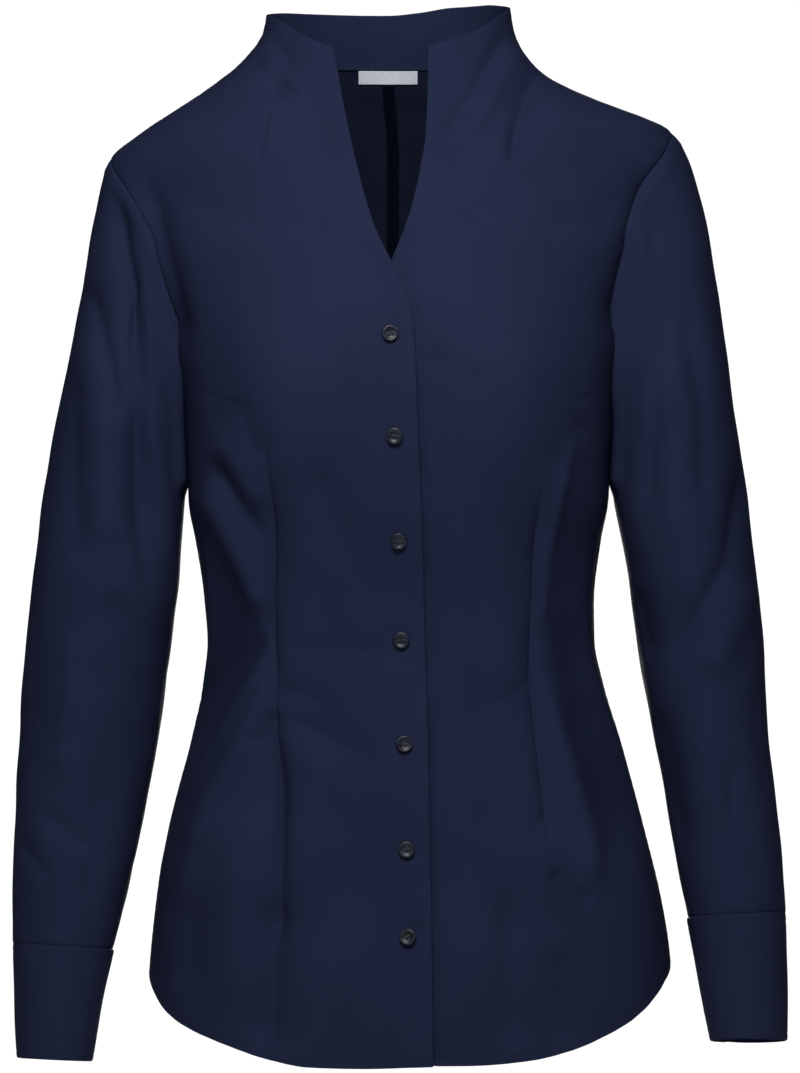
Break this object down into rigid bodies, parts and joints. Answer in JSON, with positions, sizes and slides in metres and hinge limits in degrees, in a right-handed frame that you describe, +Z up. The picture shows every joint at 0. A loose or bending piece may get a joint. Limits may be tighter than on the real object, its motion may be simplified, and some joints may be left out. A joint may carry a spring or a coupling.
{
  "type": "collared blouse",
  "caption": "Fitted long-sleeved blouse with a tall funnel collar grown onto the fronts, an open V neck, a buttoned front, waist darts, cuffs and a curved shirt-tail hem.",
  "frame": {"origin": "level with the base of the neck, over the middle of the waist, where the shoulders carry the blouse", "axes": "+Z up, from hem to neck; the buttoned front faces -Y; +X is the wearer's left"},
  "size_m": [0.5269, 0.2497, 0.7322],
  "materials": {
    "navy_cloth": "plain woven shirting with a faint sheen",
    "navy_inside": "plain woven shirting, doubled at a seam",
    "button_horn": "polished four-hole shirt button",
    "label_white": "woven satin ribbon, blank"
  },
  "bodies": {
    "root": {"front_right": "navy_cloth", "front_left": "navy_cloth", "back_right": "navy_cloth", "back_left": "navy_cloth", "back_seam_strip": "navy_inside", "collar_back": "navy_cloth", "collar_facing": "navy_cloth", "neck_label": "label_white", "sleeve_right": "navy_cloth", "sleeve_left": "navy_cloth", "cuff_right": "navy_cloth", "cuff_left": "navy_cloth", "sleeve_placket_right": "navy_cloth", "sleeve_placket_left": "navy_cloth", "button_front_1": "button_horn", "button_front_2": "button_horn", "button_front_3": "button_horn", "button_front_4": "button_horn", "button_front_5": "button_horn", "button_front_6": "button_horn", "button_front_7": "button_horn", "button_cuff_right_1": "button_horn", "button_cuff_right_2": "button_horn", "button_cuff_left_1": "button_horn", "button_cuff_left_2": "button_horn"}
  },
  "joints": []
}
